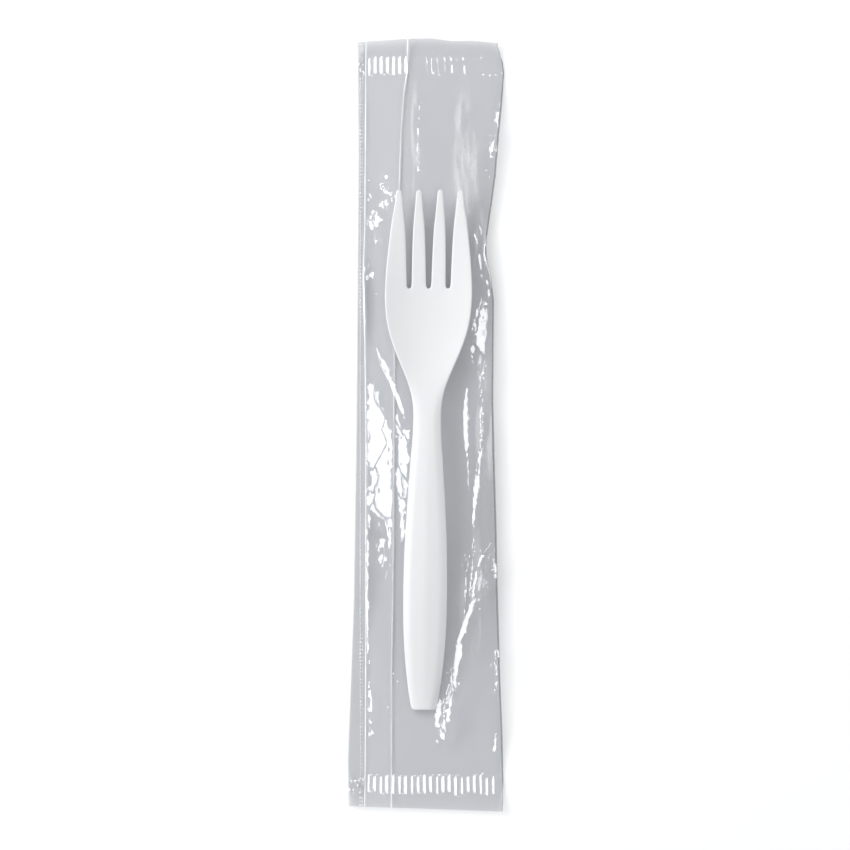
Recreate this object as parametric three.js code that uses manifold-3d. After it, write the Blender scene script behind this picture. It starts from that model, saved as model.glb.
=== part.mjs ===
// A disposable plastic fork sealed in a clear film sleeve (a flow-wrap pack).
//
// Two pieces: the fork, one moulding with a dished head and an arched, crowned
// handle; and the sleeve, one web of film closed by a lengthways fin seal that
// is folded flat under the pack, and by a ribbed crimp seal across each end.
// Millimetres, +Z up. +Y runs along the pack towards the tines. The pack lies
// on z = 0, and the origin is at the middle of its footprint.

import * as THREE from "three";
import { mergeVertices } from "three/addons/utils/BufferGeometryUtils.js";
import Module from "manifold-3d";

const wasm = await Module();
wasm.setup();

// ---------------------------------------------------------------- dimensions

// Fork
const FORK_END_Y = -84.9; // butt of the handle
const FORK_TIP_Y = 70.0; // tips of the tines
const FORK_EDGE = 0.4; // rounding of every edge of the moulding
const FORK_AXIS_X = 0.6; // the fork's axis at y = 0
const FORK_AXIS_LEAN = 0.0113; // and how far it leans, in mm per mm of y
const TINE_TIP_R = 0.88;
const OUTER_SLOT_X = 5.8; // middle of an outer slot at its root
const OUTER_SLOT_TIP_X = 6.15; // and at the tips
const SLOT_ROOT_Y = 41.3; // centre of the rounded slot bottoms
const SLOT_ROOT_HALF = 0.74; // half the slots' width there
const OUTER_TINE_TIP_X = 9.15;
const INNER_TINE_TIP_X = 3.2;

// Half the width of the fork at stations along it: [y, half width].
const FORK_HALF_WIDTH = [
  [-84.9, 3.7],
  [-79.1, 4.74],
  [-71.6, 5.6],
  [-64, 6.2],
  [-57, 6.45],
  [-50, 6.52],
  [-42, 6.42],
  [-33, 6.15],
  [-21.5, 5.52],
  [-10, 4.76],
  [-2.4, 4.2],
  [3.2, 4.06],
  [8.4, 4.6],
  [13.4, 6.1],
  [17, 7.6],
  [22.7, 10.0],
  [28.1, 11.8],
  [33, 12.65],
  [38.5, 13.0],
  [47, 12.6],
  [54.9, 11.85],
  [61.8, 11.0],
  [66.5, 10.2],
  [69.1, 10.03],
];

// Half the width of the slots between the tines: [y, outer slots, middle slot].
const SLOT_HALF_WIDTH = [
  [41.3, 0.74, 0.78],
  [48.3, 0.86, 0.95],
  [58.2, 1.2, 1.35],
  [64, 1.72, 1.95],
  [69.1, 2.13, 2.32],
];

// Height of the middle of the wall on the fork's axis: [y, z].
const FORK_ARCH = [
  [-84.9, 1.9],
  [-80, 2.5],
  [-72, 3.8],
  [-60, 5.6],
  [-45, 7.1],
  [-30, 7.7],
  [-18, 7.5],
  [-6, 6.7],
  [3, 5.5],
  [10, 4.2],
  [17, 2.8],
  [23, 1.9],
  [29, 1.45],
  [35, 1.4],
  [41, 1.6],
  [48, 1.9],
  [55, 2.2],
  [62, 2.6],
  [70, 3.2],
];

// Wall thickness: [y, mm].
const FORK_WALL = [
  [-84.9, 1.5],
  [-40, 1.6],
  [3, 2.2],
  [20, 1.8],
  [41, 1.7],
  [70, 1.1],
];

// Rise of the bowl's sides above its middle, at full width: [y, mm].
const BOWL_RISE = [
  [3, 0],
  [12, 0.9],
  [24, 2.0],
  [36, 2.2],
  [50, 1.5],
  [70, 0.3],
];

// How far the handle's shoulders turn down, and the slope of its two flanks.
const SHOULDER_DROP = [
  [-84.9, 0.6],
  [-76, 1.1],
  [-50, 1.5],
  [-10, 1.3],
  [3, 0.9],
  [14, 0.0],
];
const SHOULDER_WIDTH = 2.4;
const FLANK_SLOPE = 0.12;
const RIDGE_ROUND = 0.8; // softness of the ridge along the middle

// Sleeve
const FILM = 0.2; // wall of the sleeve
const GAP = 0.45; // room kept between the fork and the film above it
const REST_GAP = 0.3; // and below it
const FIN = 0.3; // the two webs of the fin seal together
const FLAP_GAP = 0.12; // between the folded fin and the sleeve above it
const LAYER_GAP = 0.15; // between front and back film at the folds
const SEAL_TOP = [104.1, 110.6]; // ribbed band at the tine end
const SEAL_BOTTOM = [-104.4, -110.3]; // ribbed band at the handle end
const RIB_PITCH = 1.83;
const RIB_WIDTH = 1.05;
const RIB_HEIGHT = 0.25;
const VENT_WIDTH = 0.8; // channel through the top seal beside the fin's root
const ROW_STEP = 4.6; // length of one band of facets
const COLUMNS = 24; // facets across the sleeve

// Left fold of the sleeve: [y, x].
const LEFT_FOLD = [
  [-115, -17.9],
  [-104, -17.8],
  [-60, -17.6],
  [0, -17.6],
  [25, -17.9],
  [44, -18.4],
  [60, -17.9],
  [104, -17.6],
  [115, -17.5],
];

// Right fold: [y, x].
const RIGHT_FOLD = [
  [-115.2, 22.9],
  [-108.3, 23.3],
  [-103.8, 23.1],
  [-90.7, 22.9],
  [-76, 22.3],
  [-65.6, 22.0],
  [-49, 21.5],
  [-28, 21.1],
  [-7, 20.5],
  [7.5, 20.2],
  [37, 20.4],
  [44.5, 19.7],
  [50.7, 18.1],
  [55.8, 18.9],
  [61.5, 19.5],
  [74, 20.9],
  [87.4, 22.0],
  [95.5, 22.8],
  [104.7, 23.4],
  [107.7, 23.1],
  [113.7, 21.5],
];

// Free edge of the fin seal: [y, x].
const FIN_EDGE = [
  [-113.7, -22.7],
  [-100.6, -23.2],
  [-82, -22.4],
  [-52, -21.3],
  [-7.5, -20.6],
  [37, -20.2],
  [82, -19.9],
  [114.3, -20.1],
];

// Root of the fin seal: [y, x].
const FIN_ROOT = [
  [-115, -10.0],
  [-75, -10.0],
  [-65.6, -9.8],
  [-37, -9.4],
  [-7.5, -9.25],
  [20.6, -9.1],
  [71, -7.6],
  [87, -7.1],
  [98, -6.3],
  [106, -5.2],
  [115, -5.0],
];

// The cut ends of the sleeve: [x, y].
const TOP_CUT = [
  [-20.1, 114.0],
  [-5, 115.1],
  [2, 115.2],
  [8, 114.4],
  [14, 114.5],
  [21.5, 113.8],
];
const BOTTOM_CUT = [
  [-22.7, -113.6],
  [0, -114.4],
  [22.9, -115.2],
];

// ------------------------------------------------------------------- helpers

// Smooth value at t from a table of stations, without overshoot.
function along(table, t, column = 1) {
  const last = table.length - 1;
  if (t <= table[0][0]) return table[0][column];
  if (t >= table[last][0]) return table[last][column];
  let i = 0;
  while (t > table[i + 1][0]) i += 1;
  const slope = (k) =>
    (table[k + 1][column] - table[k][column]) / (table[k + 1][0] - table[k][0]);
  const tangent = (k) => {
    if (k === 0) return slope(0);
    if (k === last) return slope(last - 1);
    const before = slope(k - 1);
    const after = slope(k);
    if (before * after <= 0) return 0;
    return (2 * before * after) / (before + after);
  };
  const span = table[i + 1][0] - table[i][0];
  const s = (t - table[i][0]) / span;
  const a = table[i][column];
  const b = table[i + 1][column];
  const m0 = tangent(i) * span;
  const m1 = tangent(i + 1) * span;
  const s2 = s * s;
  const s3 = s2 * s;
  return (
    (2 * s3 - 3 * s2 + 1) * a +
    (s3 - 2 * s2 + s) * m0 +
    (3 * s2 - 2 * s3) * b +
    (s3 - s2) * m1
  );
}

function stations(from, to, count) {
  return Array.from({ length: count + 1 }, (_, i) => from + ((to - from) * i) / count);
}

function geometryOf(points, faces) {
  const geometry = new THREE.BufferGeometry();
  geometry.setAttribute("position", new THREE.Float32BufferAttribute(points.flat(), 3));
  geometry.setIndex(faces.flat());
  return geometry;
}

// A three.js geometry as a manifold-3d solid, and back.
function solidOf(geometry) {
  const bare = geometry.clone();
  bare.deleteAttribute("normal");
  bare.deleteAttribute("uv");
  const merged = mergeVertices(bare, 1e-5);
  return new wasm.Manifold(
    new wasm.Mesh({
      numProp: 3,
      vertProperties: new Float32Array(merged.attributes.position.array),
      triVerts: new Uint32Array(merged.index.array),
    }),
  );
}

function geometryFrom(solid) {
  const mesh = solid.getMesh();
  const geometry = new THREE.BufferGeometry();
  geometry.setAttribute("position", new THREE.BufferAttribute(mesh.vertProperties, 3));
  geometry.setIndex(new THREE.BufferAttribute(mesh.triVerts, 1));
  return geometry;
}

// ---------------------------------------------------------------------- fork

const forkAxis = (y) => FORK_AXIS_X + FORK_AXIS_LEAN * y;

// Height of the middle of the wall, with x measured from the fork's axis.
function forkMiddle(x, y) {
  const half = along(FORK_HALF_WIDTH, y);
  const bowl = along(BOWL_RISE, y) * Math.min(1.1, (x / 13) ** 2 * (13 / Math.max(half, 8)) ** 1.2);
  const handle = THREE.MathUtils.clamp((12 - y) / 16, 0, 1);
  const ridge = Math.sqrt(x * x + RIDGE_ROUND * RIDGE_ROUND) - RIDGE_ROUND;
  const flank = FLANK_SLOPE * ridge * handle;
  const inShoulder = Math.max(0, Math.abs(x) - (half - SHOULDER_WIDTH)) / SHOULDER_WIDTH;
  const shoulder = along(SHOULDER_DROP, y) * inShoulder ** 2;
  return along(FORK_ARCH, y) + bowl - flank - shoulder;
}

const forkTop = (x, y) => forkMiddle(x, y) + along(FORK_WALL, y) / 2;

// The middle of the moulding is laid out as a net of quads whose border lies
// one edge radius inside the outline. The border is then rolled round from the
// top face to the underside.
function forkGeometry() {
  const points = []; // [x, y] from the axis
  const quads = [];
  const add = (x, y) => points.push([x, y]) - 1;

  // Columns at the roots of the tines, each as a share of the half width.
  const rootHalf = along(FORK_HALF_WIDTH, SLOT_ROOT_Y) - FORK_EDGE;
  const slotR = SLOT_ROOT_HALF + FORK_EDGE;
  const arc = [0, 0.25, 0.5, 0.75, 1].map((s) => Math.PI * s);
  const slotArc = (x) => arc.map((a) => [x - slotR * Math.cos(a), SLOT_ROOT_Y - slotR * Math.sin(a)]);
  const flat = (a, b, count) => stations(a, b, count).map((x) => [x, SLOT_ROOT_Y]);
  const bands = [
    { tine: 0, root: flat(-rootHalf, -OUTER_SLOT_X - slotR, 4) },
    { root: slotArc(-OUTER_SLOT_X) },
    { tine: 1, root: flat(-OUTER_SLOT_X + slotR, -slotR, 3) },
    { root: slotArc(0) },
    { tine: 2, root: flat(slotR, OUTER_SLOT_X - slotR, 3) },
    { root: slotArc(OUTER_SLOT_X) },
    { tine: 3, root: flat(OUTER_SLOT_X + slotR, rootHalf, 4) },
  ];
  const rootRow = bands.flatMap((band, i) => (i === 0 ? band.root : band.root.slice(1)));

  // Handle, neck and bowl.
  const bodyRows = [
    { y: FORK_END_Y + FORK_EDGE, trim: 0.3 },
    { y: FORK_END_Y + FORK_EDGE + 0.3, trim: 0.06 },
    { y: FORK_END_Y + FORK_EDGE + 0.9, trim: 0 },
    ...stations(FORK_END_Y + 3.4, 38.4, 40).map((y) => ({ y, trim: 0 })),
  ];
  const net = bodyRows.map(({ y, trim }) => {
    const half = along(FORK_HALF_WIDTH, y) - FORK_EDGE - trim;
    return rootRow.map(([x]) => add((x / rootHalf) * half, y));
  });
  net.push(rootRow.map(([x, y]) => add(x, y)));
  for (let j = 0; j + 1 < net.length; j += 1) {
    for (let i = 0; i + 1 < rootRow.length; i += 1) {
      quads.push([net[j][i], net[j][i + 1], net[j + 1][i + 1], net[j + 1][i]]);
    }
  }

  // Tines. Each narrows to a round tip.
  const tipCentre = FORK_TIP_Y - TINE_TIP_R;
  const tipR = TINE_TIP_R - FORK_EDGE;
  const slotX = (y) =>
    THREE.MathUtils.mapLinear(y, SLOT_ROOT_Y, FORK_TIP_Y, OUTER_SLOT_X, OUTER_SLOT_TIP_X);
  const sides = [
    (y) => [-along(FORK_HALF_WIDTH, y), -slotX(y) - along(SLOT_HALF_WIDTH, y)],
    (y) => [-slotX(y) + along(SLOT_HALF_WIDTH, y), -along(SLOT_HALF_WIDTH, y, 2)],
    (y) => [along(SLOT_HALF_WIDTH, y, 2), slotX(y) - along(SLOT_HALF_WIDTH, y)],
    (y) => [slotX(y) + along(SLOT_HALF_WIDTH, y), along(FORK_HALF_WIDTH, y)],
  ];
  const tineRows = stations(SLOT_ROOT_Y, tipCentre, 12).slice(1);
  let column = 0;
  for (const band of bands) {
    if (band.tine !== undefined) {
      let row = band.root.map((_, i) => net[net.length - 1][column + i]);
      const next = (a, b, y) => {
        const made = stations(a, b, band.root.length - 1).map((x) => add(x, y));
        for (let i = 0; i + 1 < made.length; i += 1) {
          quads.push([row[i], row[i + 1], made[i + 1], made[i]]);
        }
        row = made;
      };
      for (const y of tineRows) {
        const [a, b] = sides[band.tine](y);
        next(a + FORK_EDGE, b - FORK_EDGE, y);
      }
      const [a, b] = sides[band.tine](tipCentre);
      const middle = (a + b) / 2;
      const reach = (b - a) / 2 - FORK_EDGE;
      next(middle - reach * 0.7, middle + reach * 0.7, tipCentre + tipR * 0.7);
      next(middle - reach * 0.15, middle + reach * 0.15, tipCentre + tipR);
    }
    column += band.root.length - 1;
  }

  // The border: edges that only one quad has, followed round in order.
  const seen = new Map();
  for (const quad of quads) {
    quad.forEach((a, i) => {
      const b = quad[(i + 1) % 4];
      const key = Math.min(a, b) + "_" + Math.max(a, b);
      seen.set(key, seen.has(key) ? null : [a, b]);
    });
  }
  const nextOf = new Map([...seen.values()].filter(Boolean));
  const previousOf = new Map([...nextOf].map(([a, b]) => [b, a]));

  // Outward direction at a border point, lengthened at corners.
  const outward = (i) => {
    const here = new THREE.Vector2(...points[i]);
    const before = new THREE.Vector2(...points[previousOf.get(i)]);
    const after = new THREE.Vector2(...points[nextOf.get(i)]);
    const turn = (v) => new THREE.Vector2(v.y, -v.x).normalize();
    const n0 = turn(here.clone().sub(before));
    const n1 = turn(after.sub(here));
    const sum = n0.clone().add(n1).normalize();
    return sum.multiplyScalar(1 / Math.max(0.8, sum.dot(n0)));
  };

  const vertices = [];
  const faces = [];
  const place = (x, y, up) => {
    const wall = along(FORK_WALL, y) / 2;
    const z = forkMiddle(x, y) + up * (wall - FORK_EDGE);
    return vertices.push([forkAxis(y) + x, y, z]) - 1;
  };
  const quad = (a, b, c, d) => faces.push([a, b, c], [a, c, d]);
  const lift = (index, z) => {
    vertices[index][2] += z;
    return index;
  };
  const top = points.map(([x, y]) => lift(place(x, y, 1), FORK_EDGE));
  const under = points.map(([x, y]) => lift(place(x, y, -1), -FORK_EDGE));
  for (const [a, b, c, d] of quads) {
    quad(top[a], top[b], top[c], top[d]);
    quad(under[d], under[c], under[b], under[a]);
  }
  const roll = [
    [45, 1],
    [90, 1],
    [90, -1],
    [45, -1],
  ];
  const rings = new Map();
  for (const i of nextOf.keys()) {
    const out = outward(i);
    const [x, y] = points[i];
    const ring = roll.map(([degrees, side]) => {
      const angle = THREE.MathUtils.degToRad(degrees);
      const reach = FORK_EDGE * Math.sin(angle);
      const index = place(x + out.x * reach, y + out.y * reach, side);
      return lift(index, side * FORK_EDGE * Math.cos(angle));
    });
    rings.set(i, [top[i], ...ring, under[i]]);
  }
  for (const [a, b] of nextOf) {
    const from = rings.get(a);
    const to = rings.get(b);
    for (let k = 0; k + 1 < from.length; k += 1) {
      quad(from[k], from[k + 1], to[k + 1], to[k]);
    }
  }
  return geometryOf(vertices, faces);
}

const forkShape = forkGeometry();
forkShape.computeBoundingBox();
const forkLift = FILM + REST_GAP - forkShape.boundingBox.min.z;
forkShape.translate(0, 0, forkLift);

// -------------------------------------------------------------------- sleeve

const floorLeft = FIN + FLAP_GAP + FILM; // inside floor over the folded fin
const floorRight = FILM; // and beyond its root
const foldLeft = floorLeft + LAYER_GAP + FILM;
const foldRight = floorRight + LAYER_GAP + FILM;
const sealLeft = FIN + FLAP_GAP + 2 * FILM;
const sealRight = 2 * FILM + 0.1;

// Height at x of the taut line over a set of points sorted by x.
function tautLine(pairs) {
  const hull = [];
  for (const p of pairs) {
    while (hull.length > 1) {
      const [ax, ay] = hull[hull.length - 2];
      const [bx, by] = hull[hull.length - 1];
      if ((by - ay) * (p[0] - ax) > (p[1] - ay) * (bx - ax)) break;
      hull.pop();
    }
    hull.push(p);
  }
  return (x) => {
    let i = 0;
    while (i + 2 < hull.length && x > hull[i + 1][0]) i += 1;
    const [ax, ay] = hull[i];
    const [bx, by] = hull[i + 1];
    return ay + ((by - ay) * (x - ax)) / (bx - ax);
  };
}

// Rows of the sleeve between its end seals.
const rowCount = Math.round((SEAL_TOP[0] - SEAL_BOTTOM[0]) / ROW_STEP);
const rowsY = stations(SEAL_BOTTOM[0], SEAL_TOP[0], rowCount);
const shares = stations(0, 1, COLUMNS);

// How closely the front film follows the fork instead of bridging its hollows.
const BRIDGE = [
  [-95, 1],
  [-60, 0.8],
  [0, 0.5],
  [35, 0.35],
  [60, 0.8],
  [72, 1],
];

function filmHeights() {
  const needed = rowsY.map((y) => {
    const left = along(LEFT_FOLD, y);
    const right = along(RIGHT_FOLD, y);
    const pairs = [[left, foldLeft]];
    if (y > FORK_END_Y - ROW_STEP && y < FORK_TIP_Y + ROW_STEP) {
      const at = THREE.MathUtils.clamp(y, FORK_END_Y, FORK_TIP_Y);
      const half = along(FORK_HALF_WIDTH, at);
      for (const x of stations(-half, half, 16)) {
        const z = forkTop(x, at) + forkLift + GAP + FILM;
        pairs.push([forkAxis(y) + x, z]);
      }
    }
    pairs.push([right, foldRight]);
    const line = tautLine(pairs);
    return shares.map((s) => line(left + s * (right - left)));
  });
  const heights = needed.map((row) => row.slice());
  shares.forEach((_, i) => {
    const line = tautLine(rowsY.map((y, j) => [y, needed[j][i]]));
    rowsY.forEach((y, j) => {
      const share = along(BRIDGE, y);
      heights[j][i] = share * line(y) + (1 - share) * needed[j][i];
    });
  });
  for (let pass = 0; pass < 3; pass += 1) {
    const before = heights.map((row) => row.slice());
    for (let j = 1; j + 1 < rowsY.length; j += 1) {
      for (let i = 1; i + 1 < shares.length; i += 1) {
        const around =
          (before[j - 1][i] + before[j + 1][i] + before[j][i - 1] + before[j][i + 1]) / 4;
        heights[j][i] = Math.max(needed[j][i], (before[j][i] + around) / 2);
      }
    }
  }
  return heights;
}

const heights = filmHeights();

// Closed loft through rings with the same number of points, listed clockwise
// when seen from +Y.
function loft(rings) {
  const size = rings[0].length;
  const faces = [];
  for (let j = 0; j + 1 < rings.length; j += 1) {
    for (let i = 0; i < size; i += 1) {
      const k = (i + 1) % size;
      const a = j * size;
      const b = a + size;
      faces.push([a + i, a + k, b + k], [a + i, b + k, b + i]);
    }
  }
  const cap = (ring) => {
    const outline = ring.map(([x, , z]) => new THREE.Vector2(x, z));
    return THREE.ShapeUtils.triangulateShape(outline, []);
  };
  const end = (rings.length - 1) * size;
  for (const [a, b, c] of cap(rings[0])) faces.push([a, b, c]);
  for (const [a, b, c] of cap(rings[rings.length - 1])) faces.push([end + a, end + c, end + b]);
  return geometryOf(rings.flat(), faces);
}

// One ring of the outside of the sleeve. Its last rows follow the cut ends.
function outerRing(y, height, cut) {
  const left = along(LEFT_FOLD, y);
  const right = along(RIGHT_FOLD, y);
  const edge = along(FIN_EDGE, y);
  const root = along(FIN_ROOT, y);
  const at = (x, z) => [x, cut ? along(cut, x) : y, z];
  const ring = [at(edge, FIN), at(left - 0.05, FIN)];
  shares.forEach((s, i) => ring.push(at(left + s * (right - left), height(i, s))));
  ring.push(at(right, 0), at((root + right) / 2, 0), at(root, 0), at(edge, 0));
  return ring;
}

function innerRing(y, row) {
  const left = along(LEFT_FOLD, y) + 0.5;
  const right = along(RIGHT_FOLD, y) - 0.5;
  const root = along(FIN_ROOT, y);
  const outerLeft = left - 0.5;
  const width = right - left + 1;
  const ring = shares.map((s) => {
    const x = left + s * (right - left);
    const share = (x - outerLeft) / width;
    const at = share * COLUMNS;
    const i = Math.min(COLUMNS - 1, Math.floor(at));
    const z = row[i] + (row[i + 1] - row[i]) * (at - i) - FILM;
    const floor = x < root ? floorLeft : floorRight;
    return [x, y, Math.max(z, floor + LAYER_GAP)];
  });
  ring.push([right, y, floorRight], [root + 0.3, y, floorRight]);
  ring.push([root - 0.1, y, floorLeft], [left, y, floorLeft]);
  return ring;
}

const sealHeight = (y) => (i, s) => {
  const left = along(LEFT_FOLD, y);
  const x = left + s * (along(RIGHT_FOLD, y) - left);
  const overFin = THREE.MathUtils.clamp((along(FIN_ROOT, y) + 1 - x) / 2, 0, 1);
  return sealRight + (sealLeft - sealRight) * overFin;
};
const rowHeight = (j) => (i) => heights[j][i];
const outer = loft([
  outerRing(-115, sealHeight(-115), BOTTOM_CUT),
  outerRing(SEAL_BOTTOM[1], sealHeight(SEAL_BOTTOM[1])),
  outerRing(SEAL_BOTTOM[0] - 0.8, sealHeight(SEAL_BOTTOM[0])),
  ...rowsY.map((y, j) => outerRing(y, rowHeight(j))),
  outerRing(SEAL_TOP[0] + 0.8, sealHeight(SEAL_TOP[0])),
  outerRing(SEAL_TOP[1], sealHeight(SEAL_TOP[1])),
  outerRing(115, sealHeight(115), TOP_CUT),
]);
const inner = loft(rowsY.map((y, j) => innerRing(y, heights[j])));

// The folded fin is free of the sleeve except along its root and in the seals.
const flapLine = stations(SEAL_BOTTOM[0] + 0.4, SEAL_TOP[0] - 0.4, 26);
const flapShape = new THREE.Shape([
  ...flapLine.map((y) => new THREE.Vector2(along(FIN_ROOT, y) - 0.6, y)),
  ...flapLine.reverse().map((y) => new THREE.Vector2(along(LEFT_FOLD, y) - 1, y)),
]);
const flapGap = new THREE.ExtrudeGeometry(flapShape, { depth: FLAP_GAP, bevelEnabled: false });
flapGap.translate(0, 0, FIN);

// Ribs pressed into the end seals.
function ribs([from, to]) {
  const middle = (from + to) / 2;
  const length = Math.abs(to - from);
  const made = [];
  for (let x = along(LEFT_FOLD, middle) + 1; x < along(RIGHT_FOLD, middle) - 1; x += RIB_PITCH) {
    const root = along(FIN_ROOT, middle);
    if (Math.abs(x - root) < 1.6) continue;
    const base = x < root ? sealLeft : sealRight;
    const profile = new THREE.Shape([
      new THREE.Vector2(x - RIB_WIDTH / 2, base - 0.1),
      new THREE.Vector2(x + RIB_WIDTH / 2, base - 0.1),
      new THREE.Vector2(x + RIB_WIDTH / 5, base + RIB_HEIGHT),
      new THREE.Vector2(x - RIB_WIDTH / 5, base + RIB_HEIGHT),
    ]);
    const rib = new THREE.ExtrudeGeometry(profile, { depth: length, bevelEnabled: false });
    rib.rotateX(Math.PI / 2);
    rib.translate(0, Math.max(from, to), 0);
    made.push(solidOf(rib));
  }
  return made.reduce((sum, rib) => sum.add(rib));
}

// A narrow vent leaves the cavity through the top seal beside the fin's root.
const vent = new THREE.BoxGeometry(VENT_WIDTH, 16, LAYER_GAP);
const ventX = along(FIN_ROOT, 109) + 2.4;
vent.translate(ventX, SEAL_TOP[0] + 7, floorRight + LAYER_GAP / 2);

const sleeveSolid = solidOf(outer)
  .subtract(solidOf(inner))
  .subtract(solidOf(flapGap))
  .subtract(solidOf(vent))
  .add(ribs(SEAL_TOP))
  .add(ribs(SEAL_BOTTOM));
const sleeveShape = geometryFrom(sleeveSolid);

// ------------------------------------------------------------------ assembly

const whiteStyrene = new THREE.MeshStandardMaterial({
  color: 0xf3f3f1,
  roughness: 0.38,
  metalness: 0,
});
const clearFilm = new THREE.MeshStandardMaterial({
  color: 0xd9dee4,
  roughness: 0.16,
  metalness: 0,
  transparent: true,
  opacity: 0.3,
  side: THREE.DoubleSide,
});

const fork = new THREE.Mesh(forkShape, whiteStyrene);
fork.name = "fork";
const wrapper = new THREE.Mesh(sleeveShape, clearFilm);
wrapper.name = "wrapper";

// The origin goes to the middle of the footprint.
sleeveShape.computeBoundingBox();
const footprint = sleeveShape.boundingBox.getCenter(new THREE.Vector3());
const pack = new THREE.Group();
pack.position.set(-footprint.x, -footprint.y, 0);
pack.add(fork, wrapper);

const part = new THREE.Group();
part.add(pack);

export default part;
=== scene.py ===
import math

import bmesh
import bpy
import numpy as np
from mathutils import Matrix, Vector
from mathutils.bvhtree import BVHTree


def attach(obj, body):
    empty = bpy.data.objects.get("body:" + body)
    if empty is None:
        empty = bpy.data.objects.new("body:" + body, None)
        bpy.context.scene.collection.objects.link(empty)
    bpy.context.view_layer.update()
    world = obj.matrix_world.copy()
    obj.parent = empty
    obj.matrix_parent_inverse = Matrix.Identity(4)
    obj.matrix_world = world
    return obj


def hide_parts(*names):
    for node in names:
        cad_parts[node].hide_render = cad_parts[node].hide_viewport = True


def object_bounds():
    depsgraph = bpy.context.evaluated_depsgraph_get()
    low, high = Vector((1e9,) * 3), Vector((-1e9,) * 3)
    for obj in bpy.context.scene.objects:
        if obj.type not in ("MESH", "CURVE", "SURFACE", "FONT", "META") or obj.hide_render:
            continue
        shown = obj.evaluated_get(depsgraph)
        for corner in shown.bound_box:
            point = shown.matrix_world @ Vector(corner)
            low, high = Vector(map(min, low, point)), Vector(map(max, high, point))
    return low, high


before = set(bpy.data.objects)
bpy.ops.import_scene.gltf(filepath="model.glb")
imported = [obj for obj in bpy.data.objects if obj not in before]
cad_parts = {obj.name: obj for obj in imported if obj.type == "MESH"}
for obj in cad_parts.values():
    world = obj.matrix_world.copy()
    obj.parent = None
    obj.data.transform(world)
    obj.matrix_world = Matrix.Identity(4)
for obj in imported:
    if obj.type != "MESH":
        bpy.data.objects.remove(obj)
cad_low, cad_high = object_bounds()
scene = bpy.context.scene

# ------------------------------------------------------------------- camera
# Looks straight down on the middle of the pack with a long lens, tine end up,
# and leaves a margin of a twentieth of the pack's length at each end.
CAMERA_HEIGHT = 0.9
CAMERA_ASIDE = -0.0001
VIEW_WIDTH = (cad_high.y - cad_low.y) * 1.101

lens = bpy.data.cameras.new("camera")
lens.sensor_width = 36
lens.lens = 36 * CAMERA_HEIGHT / VIEW_WIDTH
camera = bpy.data.objects.new("camera", lens)
camera.location = (CAMERA_ASIDE, 0, CAMERA_HEIGHT)
scene.collection.objects.link(camera)
scene.camera = camera
scene.view_settings.view_transform = "Standard"
scene.cycles.transparent_max_bounces = 32  # the film lies in several layers

# -------------------------------------------------------------------- floor
# A plain white board, matt, under the pack. It is not part of the object, and
# lies a hair below the film so that the two never meet.
FLOOR_SIZE = 1.5
FLOOR_DROP = 0.00005
FLOOR_WHITE = (0.93, 0.93, 0.93, 1)


class Sum:
    """A value in a material. An expression on values adds its Math nodes."""

    def __init__(self, tree, socket):
        self.tree = tree
        self.socket = socket

    def node(self, kind, settings=(), output=0, **inputs):
        """Any node: its settings are set first, then its sockets, by name or as i0, i1, i2."""
        made = self.tree.nodes.new(kind)
        for name, value in dict(settings).items():
            setattr(made, name, value)
        for name, value in inputs.items():
            place = made.inputs[int(name[1:]) if name[1:].isdigit() else name.replace("_", " ")]
            if isinstance(value, Sum):
                self.tree.links.new(value.socket, place)
            else:
                place.default_value = value
        return Sum(self.tree, made.outputs[output]) if made.outputs else made

    def maths(self, operation, first, second):
        return self.node("ShaderNodeMath", {"operation": operation}, i0=first, i1=second)

    def __add__(self, other):
        return self.maths("ADD", self, other)

    def __sub__(self, other):
        return self.maths("SUBTRACT", self, other)

    def __rsub__(self, other):
        return self.maths("SUBTRACT", other, self)

    def __mul__(self, other):
        return self.maths("MULTIPLY", self, other)

    def __pow__(self, other):
        return self.maths("POWER", self, other)

    __radd__ = __add__
    __rmul__ = __mul__

    def between(self, low, high):
        """0 below low, 1 above high, smooth between them."""
        ramp = {"interpolation_type": "SMOOTHSTEP"}
        return self.node("ShaderNodeMapRange", ramp, Value=self, From_Min=low, From_Max=high)


def object_place(name):
    """A new material, and the Object coordinates in it."""
    material = bpy.data.materials.new(name)
    material.use_nodes = True
    material.node_tree.nodes.clear()
    place = material.node_tree.nodes.new("ShaderNodeTexCoord").outputs["Object"]
    return material, Sum(material.node_tree, place)


floor_mesh = bpy.data.meshes.new("floor")
bm = bmesh.new()
bmesh.ops.create_grid(bm, x_segments=1, y_segments=1, size=FLOOR_SIZE / 2)
bmesh.ops.translate(bm, verts=bm.verts, vec=(0, 0, -FLOOR_DROP))
bm.to_mesh(floor_mesh)
bm.free()
floor = bpy.data.objects.new("floor", floor_mesh)
scene.collection.objects.link(floor)

white_board, at = object_place("white_board")
tooth = at.node("ShaderNodeTexNoise", Vector=at, Scale=900.0, Detail=3.0)
bump = at.node("ShaderNodeBump", Height=tooth, Strength=0.02, Distance=0.0002)
board = at.node("ShaderNodeBsdfPrincipled", Base_Color=FLOOR_WHITE, Roughness=0.85, Normal=bump)
at.node("ShaderNodeOutputMaterial", Surface=board)
floor_mesh.materials.append(white_board)

# ------------------------------------------------------------------- lights
# A broad key from the upper left, which the film doesn't mirror, a low strip
# on each side that its slopes do, and an even white room.
ROOM_WHITE = (0.97, 0.985, 1.0, 1)
ROOM_STRENGTH = 0.63

room = bpy.data.worlds.new("room")
room.use_nodes = True
room.node_tree.nodes["Background"].inputs["Color"].default_value = ROOM_WHITE
room.node_tree.nodes["Background"].inputs["Strength"].default_value = ROOM_STRENGTH
scene.world = room


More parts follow.
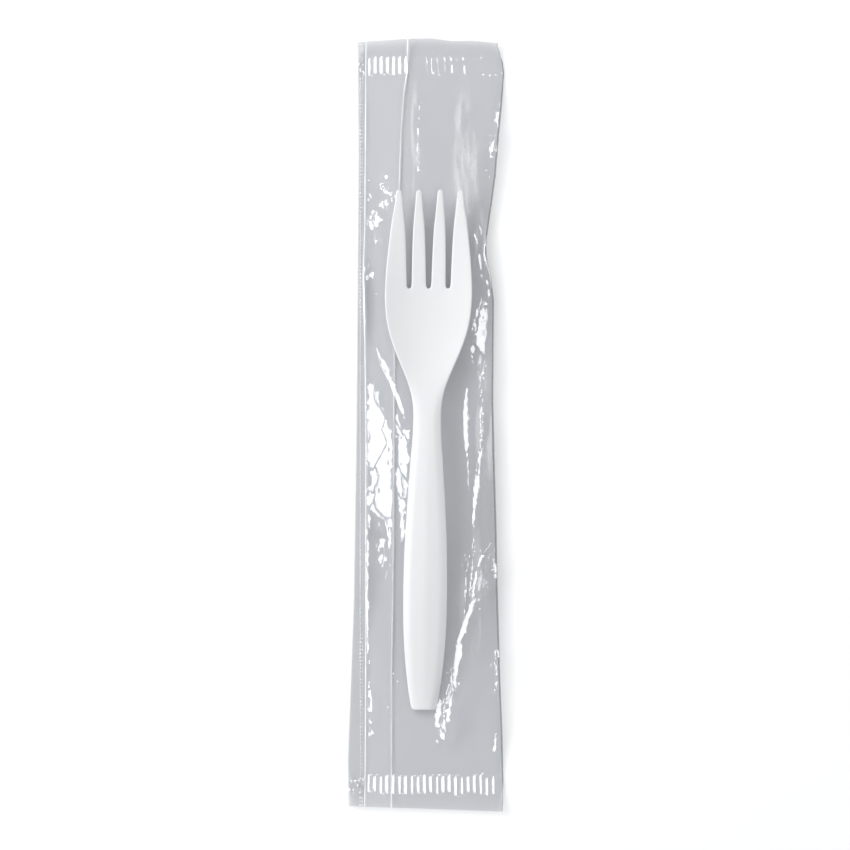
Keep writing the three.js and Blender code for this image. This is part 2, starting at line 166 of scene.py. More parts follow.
def soft_light(name, azimuth, elevation, distance, size, power, mirrored=True):
    """A lamp that faces the pack. Azimuth 0 is to the left, 90 beyond the tines."""
    lamp = bpy.data.lights.new(name, "AREA")
    lamp.shape = "RECTANGLE"
    lamp.size, lamp.size_y = size
    lamp.energy = power
    light = bpy.data.objects.new(name, lamp)
    a = math.radians(azimuth)
    e = math.radians(elevation)
    towards = Vector((-math.cos(a) * math.cos(e), math.sin(a) * math.cos(e), math.sin(e)))
    light.location = towards * distance
    light.rotation_euler = towards.to_track_quat("Z", "Y").to_euler()
    light.visible_glossy = mirrored
    scene.collection.objects.link(light)


soft_light("key", azimuth=40, elevation=32, distance=1.1, size=(0.6, 0.6), power=6.2, mirrored=False)
soft_light("left_strip", azimuth=3, elevation=27, distance=0.8, size=(0.8, 0.2), power=3.3)
soft_light("right_strip", azimuth=180, elevation=27, distance=0.8, size=(0.5, 0.14), power=1.5)

# --------------------------------------------------------------------- fork
# One injection moulding in white styrene: four tines, a dished head and an
# arched handle with a soft ridge. The skin is the moulding's own net, fined
# down so that its curves and rolled edges stay smooth.
FORK_WHITE = (0.93, 0.93, 0.923, 1)
SAME_POINT = 2e-6
FLAT_PAIR = math.radians(40)

cad_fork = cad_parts["fork"]
bm = bmesh.new()
bm.from_mesh(cad_fork.data)
bmesh.ops.remove_doubles(bm, verts=bm.verts, dist=SAME_POINT)
bmesh.ops.join_triangles(bm, faces=bm.faces, angle_face_threshold=FLAT_PAIR, angle_shape_threshold=FLAT_PAIR)
for face in bm.faces:
    face.smooth = True
fork_mesh = bpy.data.meshes.new("plastic_fork")
bm.to_mesh(fork_mesh)
bm.free()
fork = bpy.data.objects.new("plastic_fork", fork_mesh)
scene.collection.objects.link(fork)
finer = fork.modifiers.new("finer", "SUBSURF")
finer.levels = 1
finer.render_levels = 1
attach(fork, "root")
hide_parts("fork")

white_styrene, at = object_place("white_styrene")
flow = at.node("ShaderNodeTexNoise", Vector=at, Scale=60.0, Detail=2.0)
grain = at.node("ShaderNodeTexNoise", Vector=at, Scale=1400.0, Detail=3.0)
bump = at.node("ShaderNodeBump", Height=flow * 0.7 + grain * 0.12, Strength=0.25, Distance=0.0003)
gloss = 0.3 + 0.12 * flow
styrene = at.node("ShaderNodeBsdfPrincipled", Base_Color=FORK_WHITE, Roughness=gloss, Normal=bump)
at.node("ShaderNodeOutputMaterial", Surface=styrene)
fork_mesh.materials.append(white_styrene)

# --------------------------------------------------------------- film sleeve
# One web of clear film, wrapped round the fork. Its long edges are welded face
# to face as a fin, folded flat to the left underneath, and both ends are
# crimped shut. The web runs from the fin under, up the right, over and back.
MM = 0.001
FILM_LOW = 0.03  # height of the lowest web above the table
FIN_TOP = 0.12  # height of the upper web of the fin
BACK_LEFT = 0.24  # height of the underside left of the fin's root
PRESSED = 0.36  # height of the front web where the ends are crimped
CLEAR = 0.15  # room between the fork and the film over it
FIN_LIP = 0.25  # how far the lower welded edge stands out past the upper one
LENGTH = 230.4
ROWS = 440  # steps along the web
FRONT = 132  # steps across its front
RIB_COLUMNS = 6  # steps across one rib of a seal
SHARP = math.radians(20)  # folds turned further than this have a crisp edge
SEAL = 104.0  # from the middle to where each crimped end begins

# Where the sleeve's long lines run, in millimetres: [y], [x].
RIGHT_FOLD = (
    (-115.2, -108.3, -103.8, -90.7, -76, -65.6, -49, -28, -7, 7.5, 37, 44.5,
     48, 50.7, 53, 55.8, 61.5, 66, 74, 87.4, 95.5, 104.7, 107.7, 113.7),
    (23.0, 23.4, 23.2, 23.0, 22.4, 22.1, 21.6, 21.2, 20.6, 20.3, 20.5, 19.6,
     18.7, 18.3, 18.2, 18.4, 19.2, 19.9, 21.0, 22.1, 22.9, 23.5, 23.2, 21.6),
)
LEFT_FOLD = (
    (-115, -104, -60, 0, 25, 44, 60, 104, 115),
    (-18.2, -18.1, -17.9, -17.9, -18.2, -18.7, -18.2, -17.9, -17.8),
)
FIN_EDGE = (
    (-113.7, -100.6, -82, -52, -7.5, 37, 82, 114.3),
    (-22.8, -23.2, -22.5, -21.4, -20.7, -20.3, -20.0, -20.2),
)
FIN_ROOT = (
    (-115, -75, -65.6, -37, -7.5, 20.6, 71, 87, 98, 106, 115),
    (-10.1, -10.1, -9.9, -9.5, -9.35, -9.2, -7.7, -7.2, -6.4, -5.3, -5.1),
)
TOP_CUT = ((-20.2, -5.1, 1.9, 7.9, 13.9, 21.4), (114.0, 115.1, 115.2, 114.4, 114.5, 113.8))
BOTTOM_CUT = ((-22.8, 0, 22.8), (-113.6, -114.4, -115.2))

# From each fold the film runs in nearly flat, then climbs to the fork's edge.
GENTLE_LEFT = 0.12
GENTLE_RIGHT = 0.05
CLIMB = 0.44
EDGE_POINTS = 5  # points that settle the height of the film at each edge of the fork
SEAL_DIP = 1.25  # how the film sinks from the fork to a seal
AT_SEAL = 0.45

# How high the sleeve's puffed right fold stands, and its flat left one.
RIGHT_PUFF = (
    (-112, -104, -101, -92, -60, 0, 38, 51, 62, 90, 99, 104, 112),
    (0.5, 0.9, 1.2, 1.9, 2.4, 2.4, 2.0, 1.5, 1.9, 2.3, 1.6, 1.0, 0.5),
)
LEFT_PUFF = ((-106, -98, -60, 60, 98, 105), (0.36, 0.5, 0.6, 0.6, 0.5, 0.36))


def line(table, place):
    return np.interp(place, *table)


def smooth(t):
    t = np.clip(t, 0, 1)
    return t * t * (3 - 2 * t)


def blurred(field, passes):
    """The field with each point moved towards its neighbours' mean, a few times."""
    for _ in range(passes):
        edge = np.pad(field, 1, mode="edge")
        field = (edge[:-2, 1:-1] + edge[2:, 1:-1] + edge[1:-1, :-2] + edge[1:-1, 2:] + 4 * field) / 8
    return field


def blurred_line(values, passes):
    for _ in range(passes):
        edge = np.pad(values, 1, mode="edge")
        values = (edge[:-2] + 2 * values + edge[2:]) / 4
    return values


row_y = np.linspace(-LENGTH / 2, LENGTH / 2, ROWS + 1)
right_puff = line(RIGHT_PUFF, row_y)
left_puff = line(LEFT_PUFF, row_y)
right_bulge = 0.15 + 0.2 * right_puff
left_bulge = 0.15 + 0.2 * left_puff
right = line(RIGHT_FOLD, row_y) - right_bulge
left = line(LEFT_FOLD, row_y) + left_bulge
edge_x = line(FIN_EDGE, row_y)
root_x = line(FIN_ROOT, row_y)

# The fork's top face under each point of the front film.
x = right[:, None] + (left - right)[:, None] * np.linspace(0, 1, FRONT + 1)
y = np.repeat(row_y[:, None], FRONT + 1, axis=1)
corners = [tuple(v.co) for v in cad_fork.data.vertices]
fork_tree = BVHTree.FromPolygons(corners, [tuple(p.vertices) for p in cad_fork.data.polygons])
fork_top = np.zeros_like(x)
for k in np.ndindex(x.shape):
    hit = fork_tree.ray_cast(Vector((x[k] * MM, y[k] * MM, 0.1)), Vector((0, 0, -1)))[0]
    fork_top[k] = hit.z / MM if hit is not None else 0
on_fork = fork_top > 0
fork_rows = np.flatnonzero(on_fork.any(axis=1))
first = fork_rows[0]
last = fork_rows[-1]

# Each row's span over the fork and the heights at its two edges. Beyond the
# tines and the handle the span closes up and comes down to the seals.
span_right = np.zeros(ROWS + 1)
span_left = np.zeros(ROWS + 1)
high_right = np.zeros(ROWS + 1)
high_left = np.zeros(ROWS + 1)
for j in fork_rows:
    over_fork = np.flatnonzero(on_fork[j])
    span_right[j] = x[j, over_fork[0]]
    span_left[j] = x[j, over_fork[-1]]
    high_right[j] = fork_top[j, over_fork[:EDGE_POINTS]].max() + 2 * CLEAR
    high_left[j] = fork_top[j, over_fork[-EDGE_POINTS:]].max() + 2 * CLEAR
for end, rows, seal in ((last, range(last + 1, ROWS + 1), SEAL), (first, range(first), -SEAL)):
    for j in rows:
        t = min(1, abs(row_y[j] - row_y[end]) / abs(seal - row_y[end]))
        span_right[j] = span_right[end]
        span_left[j] = span_left[end]
        high_right[j] = high_right[end] * (1 - t) ** SEAL_DIP + AT_SEAL * t
        high_left[j] = high_left[end] * (1 - t) ** SEAL_DIP + AT_SEAL * t
span_right = blurred_line(span_right, 30)[:, None]
span_left = blurred_line(span_left, 30)[:, None]
high_right = blurred_line(high_right, 60)[:, None]
high_left = blurred_line(high_left, 60)[:, None]

over = np.clip((x - span_left) / (span_right - span_left), 0, 1)
bridge = high_left + (high_right - high_left) * over
drape = blurred(np.maximum(bridge, np.where(on_fork, fork_top + CLEAR, 0)), 6)
left_run = np.minimum(left_puff[:, None] + GENTLE_LEFT * (x - left[:, None]), high_left)
left_climb = np.maximum(left_run, high_left - CLIMB * (span_left - x))
right_run = np.minimum(right_puff[:, None] + GENTLE_RIGHT * (right[:, None] - x), high_right)
right_climb = np.maximum(right_run, high_right - CLIMB * (x - span_right))
drape = np.where(x < span_left, left_climb, drape)
drape = np.where(x > span_right, right_climb, drape)


FACING = 0.62  # slope of a leaf of film that mirrors a strip light upwards


def leaf(front_z, points, width, facing=1):
    """Tilts a narrow leaf of the front film towards the left, or with facing -1 towards the right.

    points run down the leaf's upper edge, and the leaf narrows to nothing at both ends.
    """
    points = np.array(points, float)[::-1]
    edge = np.interp(row_y, points[:, 1], points[:, 0])
    share = (row_y - points[0, 1]) / (points[-1, 1] - points[0, 1])
    wide = width * np.sin(np.pi * np.clip(share, 0, 1)) ** 0.5
    foot = edge - facing * wide
    foot_high = np.array([np.interp(-foot[j], -x[j], front_z[j]) for j in range(ROWS + 1)])
    foot_high = blurred_line(foot_high, 12)
    frayed = np.random.default_rng(round(1000 + 37 * edge[0] + points[-1, 1])).normal(0, 1, ROWS + 1)
    reach = wide * (1 + 0.22 * blurred_line(frayed, 2)) + 0.1 * blurred_line(frayed, 1)
    for j in np.flatnonzero((share > 0) & (share < 1) & (wide > 0.1)):
        out = facing * (x[j] - foot[j])
        in_leaf = (out > 0) & (out < reach[j])
        front_z[j, in_leaf] = foot_high[j] + FACING * out[in_leaf]


def patch(front_z, outline, step, facing=1):
    """Crumples a patch of the front film into slopes that all face left, or with facing -1 right.

    outline gives (y, left, right) down the patch, and step is the height of a crease between two slopes.
    """
    rows = np.array(outline, float)[::-1]
    left_side = np.interp(row_y, rows[:, 0], rows[:, 1])
    right_side = np.interp(row_y, rows[:, 0], rows[:, 2])
    foot = blurred_line(left_side if facing > 0 else right_side, 25)
    foot_high = np.array([np.interp(-foot[j], -x[j], front_z[j]) for j in range(ROWS + 1)])
    foot_high = blurred_line(foot_high, 12)[:, None]
    seed = round(20000 + 91 * rows[0, 0] + 17 * rows[-1, 1])
    fray = np.random.default_rng(seed).normal(0, 1, (2, ROWS + 1))
    left_side = left_side + 0.5 * blurred_line(fray[0], 1)
    right_side = right_side + 0.5 * blurred_line(fray[1], 1)
    in_rows = (row_y > rows[0, 0]) & (row_y < rows[-1, 0])
    inside = (x > left_side[:, None]) & (x < right_side[:, None]) & in_rows[:, None]
    cells = np.floor(crumple(11.0, seed) * 1.3) * 0.3 * step
    slopes = foot_high + facing * FACING * (x - foot[:, None]) + cells + crumple(6.0, seed + 1) * 0.06
    front_z[inside] += np.mod(slopes - front_z, step)[inside]


def crumple(size, seed, spread=0.6, count=5):
    """Crossing straight folds, mostly lengthways, between -1 and 1."""
    rng = np.random.default_rng(seed)
    total = np.zeros(x.shape)
    for _ in range(count):
        angle = rng.normal(0, spread)
        pace = size * rng.uniform(0.7, 1.6)
        bend = 0.35 * np.sin(y / (size * 3) * rng.uniform(0.6, 1.4) + rng.uniform(0, 6))
        bend = bend + 0.3 * np.sin(x / (size * 2.4) + rng.uniform(0, 6))
        t = (x * math.cos(angle) + y * math.sin(angle)) / pace + bend + rng.uniform(0, 1)
        total += np.abs((t % 1) - 0.5) * 4 - 1
    return total / count


# Faint creases all over the front: their size in millimetres, and their seed.
front_z = drape + crumple(6.0, 3) * 0.08 + crumple(2.6, 5) * 0.035

# Crumpled patches: (y, left, right) in millimetres down each, then the height
# of its creases. The first list faces left, the second right.
LEFT_PATCHES = (
    (((13.9, -17.5, -17.2), (10.1, -17.5, -14.1), (5.1, -17.4, -12.6), (0.9, -17.4, -11.1),
      (-3.9, -17.4, -9.9), (-12, -17.2, -9.8), (-14, -16.0, -9.8), (-17.5, -16.1, -9.8),
      (-19, -17.4, -9.8), (-24.8, -17.5, -9.7), (-25.8, -15.5, -9.7), (-28, -13.4, -9.7),
      (-31.4, -10.6, -9.6)), 1.1),
    (((4.5, -8.6, -8.0), (-1.0, -8.7, -7.2), (-1.5, -8.7, -4.6), (-6, -7.8, -5.0), (-12, -8.2, -5.0),
      (-16, -8.7, -5.0), (-22, -8.0, -5.4), (-28, -7.6, -6.0), (-35, -7.2, -6.5)), 0.9),
    (((-33.9, -13.6, -12.2), (-35.5, -14.8, -11.8), (-37.6, -14.0, -12.6)), 0.6),
    (((-37.8, -13.2, -12.4), (-40, -14.2, -10.8), (-42.4, -13.8, -12.8)), 0.6),
    (((-26.5, -17.2, -16.4), (-29, -16.9, -16.0), (-31, -17.0, -16.3)), 0.6),
    (((66.9, -13.2, -10.8), (65.6, -14.4, -10.3), (64.2, -12.6, -11.6)), 0.8),
    (((64.2, -15.8, -14.6), (62.4, -17.3, -13.2), (60.0, -17.7, -12.9), (58.4, -15.8, -14.4)), 0.9),
    (((56.0, -17.0, -15.4), (55.0, -17.4, -13.8), (54.2, -15.4, -14.4)), 0.8),
    (((45.6, -16.6, -15.0), (43.0, -16.9, -15.8)), 0.7),
    (((69.3, -17.4, -16.4), (68.0, -17.2, -15.6)), 0.7),
    (((74.8, -11.7, -10.5), (73.3, -12.2, -10.8)), 0.7),
    (((-76, -17.2, -16.6), (-84, -17.2, -15.8), (-92, -16.9, -15.7), (-95.5, -16.6, -16.2)), 0.7),
    (((-43.0, 14.6, 16.3), (-45.4, 14.0, 17.8), (-46.7, 13.8, 18.6), (-48.4, 13.4, 18.0),
      (-50.1, 13.0, 17.0), (-52.6, 12.8, 15.4)), 1.6),
    (((-72.0, 8.2, 10.4), (-74.4, 7.6, 10.1), (-77.4, 6.6, 10.2), (-80.8, 5.1, 8.7), (-83.3, 4.5, 7.8),
      (-86.8, 3.0, 7.0), (-90.4, 3.0, 7.3), (-93.4, 2.7, 6.1), (-95.6, 2.6, 3.7)), 1.9),
    (((88.0, 20.4, 21.6), (84.5, 19.2, 21.4), (81.0, 18.8, 21.2), (79.3, 19.0, 20.2)), 0.9),
    (((79.0, 18.2, 19.4), (77.0, 17.9, 19.1)), 0.8),
    (((74.6, 18.8, 19.9), (72.6, 18.6, 19.3)), 0.8),
    (((-38.5, 19.4, 20.6), (-42.4, 19.7, 20.9), (-45.8, 20.2, 21.1)), 0.9),
    (((-67.0, 20.8, 21.4), (-71.0, 20.3, 21.4), (-72.6, 20.0, 21.4), (-74.4, 20.7, 21.3)), 0.9),
    (((-76.2, 20.2, 21.3), (-79.2, 20.6, 21.3)), 0.8),
    (((-90.8, 20.8, 21.8), (-94.5, 20.2, 21.4), (-97.7, 20.0, 20.8)), 0.8),
)
RIGHT_PATCHES = (
    (((37.0, 17.2, 18.3), (33.3, 16.1, 18.4), (30, 15.1, 18.6), (26.7, 13.7, 18.8), (24.7, 15.0, 18.6),
      (21.7, 15.8, 18.2), (18.4, 15.3, 17.8), (15.1, 15.5, 17.5), (11.8, 15.8, 17.2),
      (8.0, 15.9, 17.0)), 2.2),
    (((26.7, 13.4, 14.4), (22.7, 13.7, 14.5), (19.7, 13.2, 14.4), (17.8, 14.4, 15.3),
      (16.1, 14.8, 15.8)), 0.8),
)
for outline, step in LEFT_PATCHES:
    patch(front_z, outline, step)
for outline, step in RIGHT_PATCHES:
    patch(front_z, outline, step, facing=-1)

# Single folds: the points of each one's upper edge, from the tines' end down,
# then its width. The first list faces left, the second right.
LEFT_LEAVES = (
    (((-14.3, 23.5), (-12.4, 18.5), (-9.5, 12.5), (-7.0, 6.0), (-4.4, -1.0)), 1.1),
    (((-12.6, 20.0), (-11.0, 17.2), (-10.6, 14.8)), 1.8),
    (((-10.6, 16.5), (-8.0, 9.5), (-5.2, 2.0)), 0.7),
    (((-12.9, 71.6), (-8.7, 67.8)), 1.4),
    (((-16.8, -28.0), (-16.8, -76)), 0.7),
    (((-10.5, -30.0), (-9.8, -33.5), (-10.2, -37.0)), 1.1),
    (((12.6, 11.6), (12.7, 2.0), (12.9, -6.0), (13.0, -12.0)), 1.6),
    (((13.0, -9.0), (12.9, -14.0), (13.1, -20.0)), 0.7),
    (((-0.9, 102.0), (-2.0, 88.0), (-2.2, 74.0)), 0.5),
    (((17.2, 9.0), (17.2, -5.0), (16.8, -9.0), (15.4, -18.0), (14.8, -26.0), (14.0, -34.0)), 1.2),
    (((16.3, -10.0), (16.1, -16.0), (15.0, -25.0), (14.3, -32.0)), 0.9),
    (((14.1, -34.0), (12.8, -42.0), (12.1, -52.0), (11.6, -60.0)), 0.7),
    (((14.9, -35.0), (14.0, -44.0), (13.1, -54.0)), 0.7),
    (((21.0, -33.6), (19.0, -36.2), (17.5, -38.4), (16.6, -41.1), (16.1, -45.0)), 1.2),
    (((20.9, -36.8), (19.6, -38.2), (18.9, -41.0)), 0.9),
    (((16.4, -49.0), (14.9, -52.6), (14.2, -55.6), (13.2, -58.2), (12.6, -60.8), (11.5, -64.2),
      (11.1, -66.7), (10.7, -69.3), (10.0, -72.3), (9.0, -79.0)), 2.3),
    (((4.7, -80.0), (4.5, -88.0), (3.8, -97.0)), 1.7),
    (((8.6, -79.0), (7.8, -84.0), (7.0, -92.0)), 1.6),
)
for points, width in LEFT_LEAVES:
    leaf(front_z, points, width)
RIGHT_LEAVES = (
    (((16.5, 38.4), (15.0, 33.0), (13.2, 26.0)), 0.9),
    (((16.3, 10.0), (16.1, 2.0), (16.2, -8.0)), 0.8),
    (((22.0, 103.5), (21.8, 96.0), (21.0, 91.0), (20.3, 85.0)), 1.0),
    (((21.4, 96.0), (20.5, 89.5)), 0.9),
    (((17.8, 43.6), (18.6, 37.6)), 0.7),
    (((15.6, 61.0), (17.1, 52.0), (17.5, 46.4)), 0.7),
    (((14.0, 59.0), (15.8, 50.0), (16.7, 43.0)), 0.6),
)
for points, width in RIGHT_LEAVES:
    leaf(front_z, points, width, facing=-1)
front_z = np.maximum(front_z, np.where(on_fork, fork_top + CLEAR, 0))

# The four or two webs are pressed together in the seals.
in_seal = smooth((np.abs(y) - SEAL + 2.5) / 3.0)
front_z = front_z * (1 - in_seal) + PRESSED * in_seal
front_z = np.maximum(front_z, PRESSED - 0.03)

# ---- the whole web, band by band across
ARC = 6
BANDS = {"fin_low": 3, "under_left": 11, "back_right": 24, "right_fold": ARC, "front": FRONT,
         "left_fold": ARC, "back_left": 10, "bead": 2, "hinge": 2, "under_root": 9, "fin_high": 3}
columns = sum(BANDS.values())
BEAD_HEIGHT = 0.26  # the film stands in a small bead along the fin's root
BEAD_WIDTH = 0.42


def across(start, stop, count, power=1.0):
    return start[:, None] + (stop - start)[:, None] * np.linspace(0, 1, count + 1) ** power


def flat(height, count):
    return np.full((ROWS + 1, count + 1), height)


turn = np.linspace(0, math.pi, ARC + 1)
rise = (front_z[:, 0] - FILM_LOW)[:, None]
drop = (front_z[:, -1] - BACK_LEFT)[:, None]
closing = np.linspace(1, 0, BANDS["back_left"] + BANDS["bead"] + 1) ** 2
back_left_x = root_x[:, None] + (left - root_x)[:, None] * closing
root_bead = BEAD_HEIGHT * np.exp(-((back_left_x - root_x[:, None]) / BEAD_WIDTH) ** 2)
hinge_x = across(root_x, root_x, BANDS["hinge"]) + np.array([0, 0.25, 0])
hinge_z = np.array([[0.5, 0.2, FIN_TOP]]).repeat(ROWS + 1, axis=0)
lip_x = edge_x + FIN_LIP
fold_x = left - 0.8 * left_bulge
bands = (
    (across(edge_x, fold_x, BANDS["fin_low"]), flat(FILM_LOW, BANDS["fin_low"])),
    (across(fold_x, root_x, BANDS["under_left"]), flat(FILM_LOW, BANDS["under_left"])),
    (across(root_x, right, BANDS["back_right"]), flat(FILM_LOW, BANDS["back_right"])),
    (right[:, None] + right_bulge[:, None] * np.sin(turn), FILM_LOW + rise * (1 - np.cos(turn)) / 2),
    (x, front_z),
    (left[:, None] - left_bulge[:, None] * np.sin(turn), BACK_LEFT + drop * (1 + np.cos(turn)) / 2),
    (back_left_x, BACK_LEFT + root_bead),
    (hinge_x, hinge_z),
    (across(root_x, fold_x, BANDS["under_root"]), flat(FIN_TOP, BANDS["under_root"])),
    (across(fold_x, lip_x, BANDS["fin_high"]), flat(FIN_TOP, BANDS["fin_high"])),
)
web_x = np.hstack([bands[0][0]] + [band[0][:, 1:] for band in bands[1:]])
web_z = np.hstack([bands[0][1]] + [band[1][:, 1:] for band in bands[1:]])
web_y = np.repeat(row_y[:, None], columns + 1, axis=1)

# The tails beyond the seals stand off the table, and the seals are pressed
# into ribs, crisp at the handle's end and faint at the tines'.
TOP_RIBS = (
    (-18, -16, -5, -4, 1, 2, 5, 6, 16, 17, 22),
    (0.9, 1, 1, 0.6, 0.6, 0.79, 0.79, 0.6, 0.6, 0.8, 0.8),
)
BOTTOM_RIBS = ((-18, -16, 21, 23), (0.85, 1, 1, 0.8))
RIB_SHAPE = (0.0, 0.35, 0.7, 0.45, 0.2, 0.0)  # steep on the right, an even slope on the left
RIB_HEIGHT = 0.78
TAIL_LIFT = 1.1
front_start = BANDS["fin_low"] + BANDS["under_left"] + BANDS["back_right"] + ARC
uneven = np.random.default_rng(11).normal(0, 1, (2, 3, FRONT // RIB_COLUMNS)).repeat(RIB_COLUMNS, axis=2)
rib_x = web_x[:, front_start : front_start + FRONT]
rib_y = web_y[:, front_start : front_start + FRONT]
for end, table, (height, begin, finish) in ((1, TOP_RIBS, uneven[0]), (-1, BOTTOM_RIBS, uneven[1])):
    out = end * rib_y - SEAL
    crimped = smooth((out - 0.25 * begin) / 0.5) * smooth((6.4 + 0.3 * finish - out) / 0.5)
    ribs = np.tile(RIB_SHAPE, FRONT // RIB_COLUMNS) * (1 + 0.04 * height)
    web_z[:, front_start : front_start + FRONT] += crimped * ribs * line(table, rib_x) * RIB_HEIGHT
web_z += TAIL_LIFT * smooth((np.abs(web_y) - 108) / 8)

top_share = np.clip((web_y - 110.3) / 4.9, 0, 1)
bottom_share = np.clip((-110.3 - web_y) / 4.9, 0, 1)
web_y = web_y + top_share * (line(TOP_CUT, web_x) - LENGTH / 2)
web_y = web_y + bottom_share * (line(BOTTOM_CUT, web_x) + LENGTH / 2)

FRONT_FILM, BACK_FILM, FIN_FILM, TOUCHING, FOLD_PAINTED_SHADE, WHITE_CREASE_HIGHLIGHT = range(6)
# The left fold, the fin's bead and the hinge get the white crease film with its painted highlight, and the
# right fold gets a darker film that paints shade along that edge.
BAND_FILM = (
    FIN_FILM, TOUCHING, BACK_FILM, FOLD_PAINTED_SHADE, FRONT_FILM, WHITE_CREASE_HIGHLIGHT,
    TOUCHING, WHITE_CREASE_HIGHLIGHT, WHITE_CREASE_HIGHLIGHT, TOUCHING, FIN_FILM,
)
starts = np.cumsum([0] + list(BANDS.values()))
bm = bmesh.new()
bmesh.ops.create_grid(bm, x_segments=columns, y_segments=ROWS, size=0.5)
for point in bm.verts:
    i = round((point.co.x + 0.5) * columns)
    j = round((point.co.y + 0.5) * ROWS)
    point.co = (web_x[j, i] * MM, web_y[j, i] * MM, web_z[j, i] * MM)
bmesh.ops.reverse_faces(bm, faces=bm.faces)
bm.normal_update()
for edge in bm.edges:
    edge.smooth = edge.calc_face_angle(0) < SHARP
for face in bm.faces:
    face.smooth = True
    column = min(v.index for v in face.verts) % (columns + 1)
    band = np.searchsorted(starts, column, side="right") - 1
    face.material_index = BAND_FILM[band]
film_mesh = bpy.data.meshes.new("film_sleeve")
bm.to_mesh(film_mesh)
bm.free()
film = bpy.data.objects.new("film_sleeve", film_mesh)
scene.collection.objects.link(film)
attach(film, "root")
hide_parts("wrapper")


def plain(at):
    return 0.0


def clear_film(name, tint, mirror, relief=plain, haze_and_sheen=plain):
    """Film of one colour. mirror is the share of light it turns back when faced squarely."""
    material, at = object_place(name)
    micro = at.node("ShaderNodeTexNoise", Vector=at, Scale=700.0, Detail=3.0)
    bump = at.node("ShaderNodeBump", Height=micro * 0.012 + relief(at), Strength=1.0, Distance=0.001)
    gloss = at.node(
        "ShaderNodeBsdfPrincipled",
        Base_Color=(0.95, 0.96, 0.98, 1),
        Metallic=0.9,
        Roughness=0.06,
        Normal=bump,
    )
    through = at.node("ShaderNodeBsdfTransparent", Color=(*tint, 1))
    facing = at.node("ShaderNodeLayerWeight", output=1, Blend=0.5, Normal=bump)
    turned = mirror + facing**5.0 * (0.9 - mirror)
    clear = at.node("ShaderNodeMixShader", i0=turned, i1=through, i2=gloss)
    cloudy = at.node("ShaderNodeBsdfPrincipled", Base_Color=(0.95, 0.95, 0.96, 1), Roughness=0.5)
    film_look = at.node("ShaderNodeMixShader", i0=haze_and_sheen(at), i1=clear, i2=cloudy)
    at.node("ShaderNodeOutputMaterial", Surface=film_look)
    return material


def oval(at, cx, cy, rx, ry):
    """1 in the middle of an oval, given in millimetres, and 0 outside it."""
    shrink = (1 / (rx * MM), 1 / (ry * MM), 0)
    middle = at.node("ShaderNodeVectorMath", {"operation": "SUBTRACT"}, i0=at, i1=(cx * MM, cy * MM, 0))
    scaled = at.node("ShaderNodeVectorMath", {"operation": "MULTIPLY"}, i0=middle, i1=shrink)
    away = at.node("ShaderNodeVectorMath", {"operation": "LENGTH"}, output=1, i0=scaled)
    return 1 - away.between(0.6, 1.1)


def dimples(at, size, reach):
    """Scattered small cones, in millimetres: how far apart, and how far each reaches."""
    cells = at.node("ShaderNodeTexVoronoi", Vector=at, Scale=1000 / size)
    height = (reach / size - cells) * (size * FACING)
    return at.node("ShaderNodeMath", {"operation": "MAXIMUM"}, i0=height, i1=0.0)


def crinkled(at):
    """Small sharp dimples where the film is crumpled."""
    drawn_out = at.node("ShaderNodeMapping", Vector=at, Scale=(1, 0.5, 1))
    beside_handle = oval(at, -13.4, -8, 5, 26) + oval(at, -6.6, -16, 3.4, 24) + oval(at, 17, 26, 3, 14)
    sprinkled = oval(at, -14.2, 60, 5, 22) + oval(at, 18.6, 84, 3, 12) + oval(at, 1, 74, 3, 5)
    sprinkled = sprinkled + oval(at, 6, -86, 5, 14) + oval(at, 14.5, -48, 5, 12) + oval(at, -14, -38, 5, 10)
    sprinkled = sprinkled + oval(at, -9, -82, 3, 9) + oval(at, 20.5, -80, 1.5, 20)
    return dimples(drawn_out, 2.4, 0.4) * beside_handle + dimples(at, 2.8, 0.85) * sprinkled


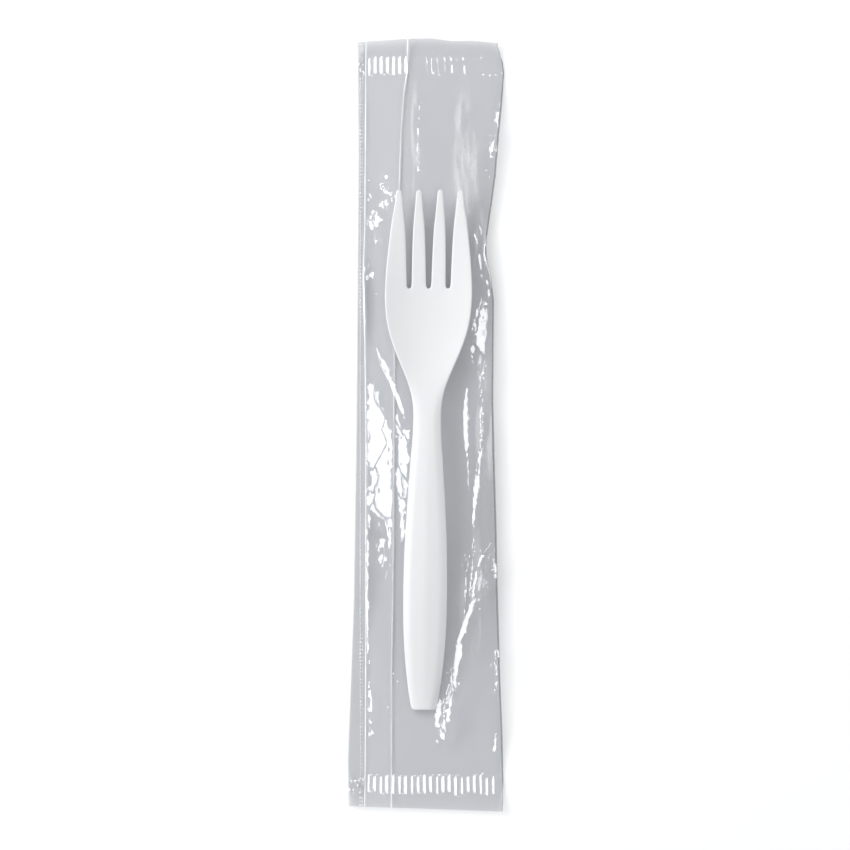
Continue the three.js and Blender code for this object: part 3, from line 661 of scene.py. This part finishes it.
def pale_haze_and_painted_sheen(at):
    """Pale milky streaks, drawn out lengthways: partly haze in the film, partly a painted sheen on its soft
    folds.
    """
    drawn_out = at.node("ShaderNodeMapping", Vector=at, Scale=(1, 0.14, 1))
    streaks = at.node("ShaderNodeTexNoise", Vector=drawn_out, Scale=420.0, Detail=3.0)
    haze_and_sheen_spots = oval(at, -3, 84, 1.7, 19) + oval(at, 12, 80, 4.5, 22) + oval(at, 17.5, -4, 3, 24)
    haze_and_sheen_spots = haze_and_sheen_spots + oval(at, 15.5, 58, 3, 14) + oval(at, 14, -50, 5, 22) * 0.6
    return streaks.between(0.42, 0.66) * haze_and_sheen_spots * 0.32


def knurled(at):
    """A row of small pressed dots along the fin, and the crackle of the seals at its ends."""
    row_x = -19.1
    half_pitch = 0.55
    radius = 0.45
    across_fin = at.node("ShaderNodeSeparateXYZ", Vector=at) * 1000
    along_fin = at.node("ShaderNodeSeparateXYZ", output=1, Vector=at) * 1000
    from_dot = at.node("ShaderNodeMath", {"operation": "PINGPONG"}, i0=along_fin, i1=half_pitch)
    distance = ((across_fin - row_x) ** 2.0 + from_dot**2.0) ** 0.5
    dots = at.node("ShaderNodeMath", {"operation": "MAXIMUM"}, i0=(radius - distance) * FACING, i1=0.0)
    from_middle = at.node("ShaderNodeMath", {"operation": "ABSOLUTE"}, i0=along_fin)
    in_seal = from_middle.between(SEAL, SEAL + 0.5) - from_middle.between(SEAL + 6, SEAL + 6.5)
    return dots + dimples(at, 1.3, 0.75) * in_seal


film_mesh.materials.append(clear_film("front_film", (0.92, 0.922, 0.93), 0.1, crinkled, pale_haze_and_painted_sheen))
film_mesh.materials.append(clear_film("back_film", (0.825, 0.83, 0.84), 0.07))
film_mesh.materials.append(clear_film("fin_film", (0.875, 0.878, 0.885), 0.09, knurled))
film_mesh.materials.append(clear_film("touching_film", (0.95, 0.952, 0.956), 0.01))
# The right fold's film is tinted darker than the rest: painted shade along that edge, which also deepens the
# shadow it casts beside the pack.
film_mesh.materials.append(clear_film("dark_fold_painted_shade", (0.62, 0.625, 0.63), 0.1))

# Along the left fold and the fin's root the crease has turned the film white: partly real whitening, partly
# a painted highlight in a white diffuse film that stays bright from every side.
crease_white_and_painted_highlight, at = object_place("crease_white_and_painted_highlight")
whitening_and_highlight_noise = at.node("ShaderNodeTexNoise", Vector=at, Scale=90.0, Detail=4.0)
clear = at.node("ShaderNodeBsdfTransparent", Color=(0.97, 0.972, 0.975, 1))
white = at.node("ShaderNodeBsdfPrincipled", Base_Color=(0.95, 0.95, 0.95, 1), Roughness=0.4)
whitening_and_highlight = at.node("ShaderNodeMixShader", i0=0.45 + whitening_and_highlight_noise.between(0.35, 0.65) * 0.45, i1=clear, i2=white)
at.node("ShaderNodeOutputMaterial", Surface=whitening_and_highlight)
film_mesh.materials.append(crease_white_and_painted_highlight)
